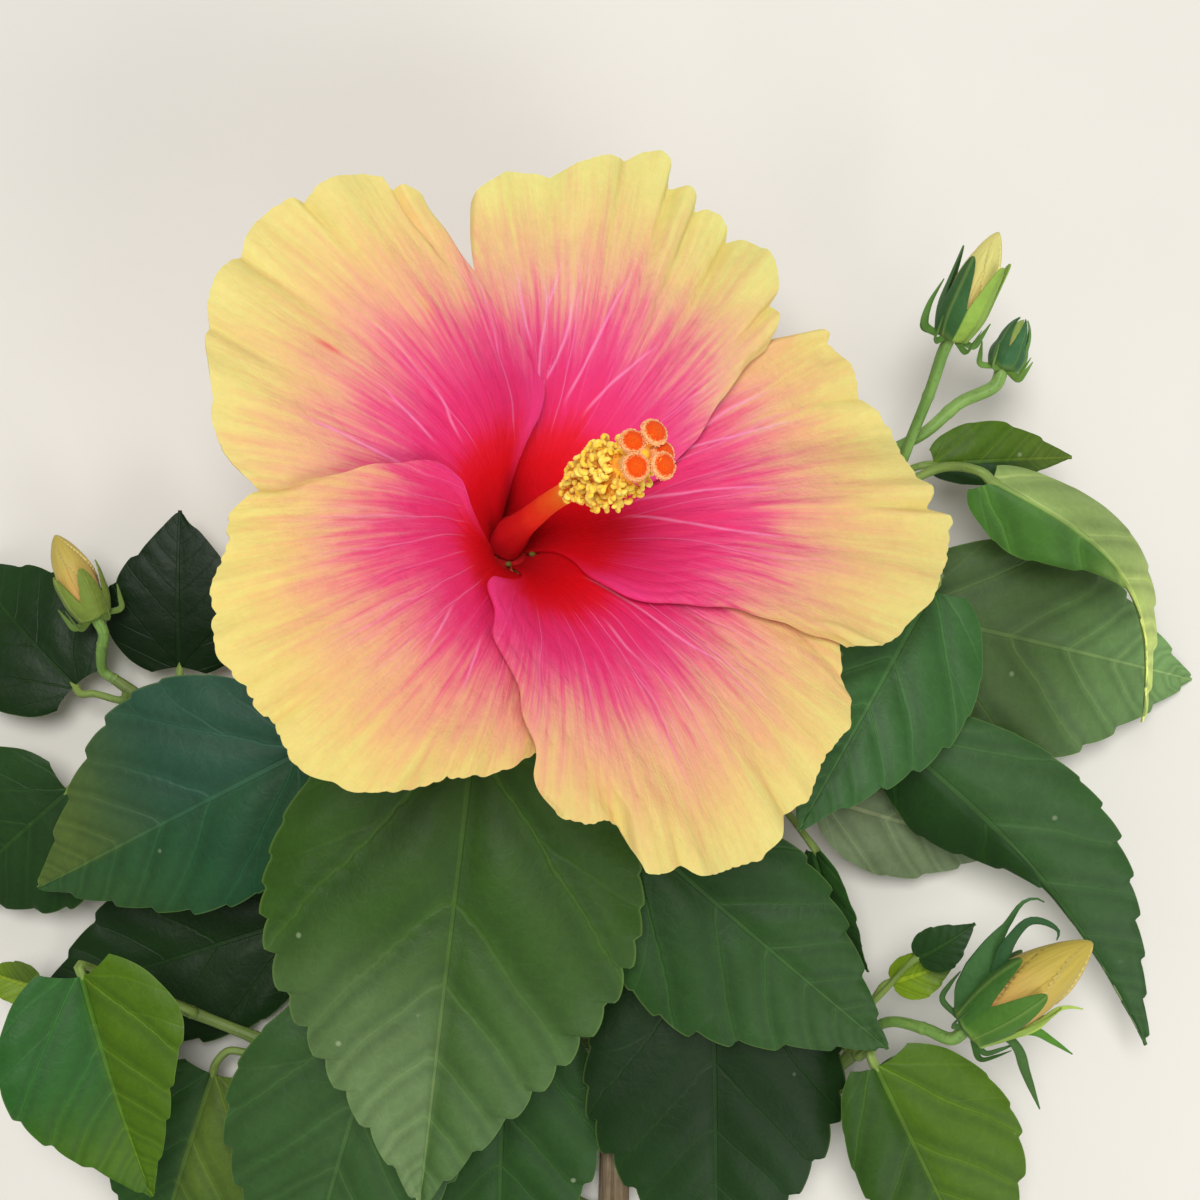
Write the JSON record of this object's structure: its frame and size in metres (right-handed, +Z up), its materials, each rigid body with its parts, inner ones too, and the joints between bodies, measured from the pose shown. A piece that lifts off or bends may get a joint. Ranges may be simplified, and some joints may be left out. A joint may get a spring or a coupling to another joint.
{
  "type": "flowering hibiscus branch",
  "caption": "Cut flowering hibiscus branch lying flat: large open bloom with a protruding stamen column, furled buds and toothed leaves on a woody stem.",
  "frame": {"origin": "middle of the part's bounding box, on the level surface that the branch lies on", "axes": "+Y runs from the cut end of the stem towards the bloom, +Z is up out of the open bloom, +X is to the right as the bloom is looked at"},
  "size_m": [0.2706, 0.2908, 0.1114],
  "materials": {
    "bark": "rough brown bark, green towards the tip",
    "green_stem": "smooth green young stem",
    "sepal": "matt green",
    "petal": "silky, deep red throat through pink and peach to a yellow rim",
    "column": "satin red, orange above",
    "anther": "powdery yellow",
    "stigma": "velvety orange red",
    "leaf": "satin green with paler veins",
    "young_leaf": "yellow green",
    "bud_petal": "silky yellow"
  },
  "bodies": {
    "root": {"main_stem": "bark", "twig_left": "green_stem", "twig_low_left": "green_stem", "twig_low_right": "green_stem", "flower_stalk": "green_stem", "calyx": "sepal", "petal_upper_left": "petal", "petal_top": "petal", "petal_right": "petal", "petal_lower_right": "petal", "petal_lower_left": "petal", "column": "column", "anthers": "anther", "stigmas": "stigma", "leaf_front": "leaf", "leaf_left": "leaf", "leaf_low_left": "leaf", "leaf_under_left": "leaf", "leaf_under_mid": "leaf", "leaf_right_low": "leaf", "leaf_low_mid": "leaf", "leaf_right_mid": "leaf", "leaf_right_big": "leaf", "leaf_right_long": "leaf", "leaf_right_droop": "leaf", "leaf_top_small": "leaf", "leaf_back_pale": "leaf", "leaf_edge_on": "leaf", "leaf_low_right": "leaf", "leaf_low_right_back": "leaf", "leaf_left_back": "leaf", "leaf_left_far": "leaf", "leaf_left_edge": "leaf", "leaf_dark_behind": "leaf", "leaf_low_back": "leaf", "leaf_small_right": "leaf", "leaf_back_top": "leaf", "leaf_back_left": "leaf", "young_leaf_left": "young_leaf", "young_leaf_right": "young_leaf", "bud_top_petals": "bud_petal", "bud_top_sepals": "sepal", "bud_top_stalk": "green_stem", "bud_side_petals": "bud_petal", "bud_side_sepals": "sepal", "bud_side_stalk": "green_stem", "bud_low_petals": "bud_petal", "bud_low_sepals": "sepal", "bud_low_stalk": "green_stem", "bud_left_petals": "bud_petal", "bud_left_sepals": "sepal", "bud_left_stalk": "green_stem"}
  },
  "joints": []
}
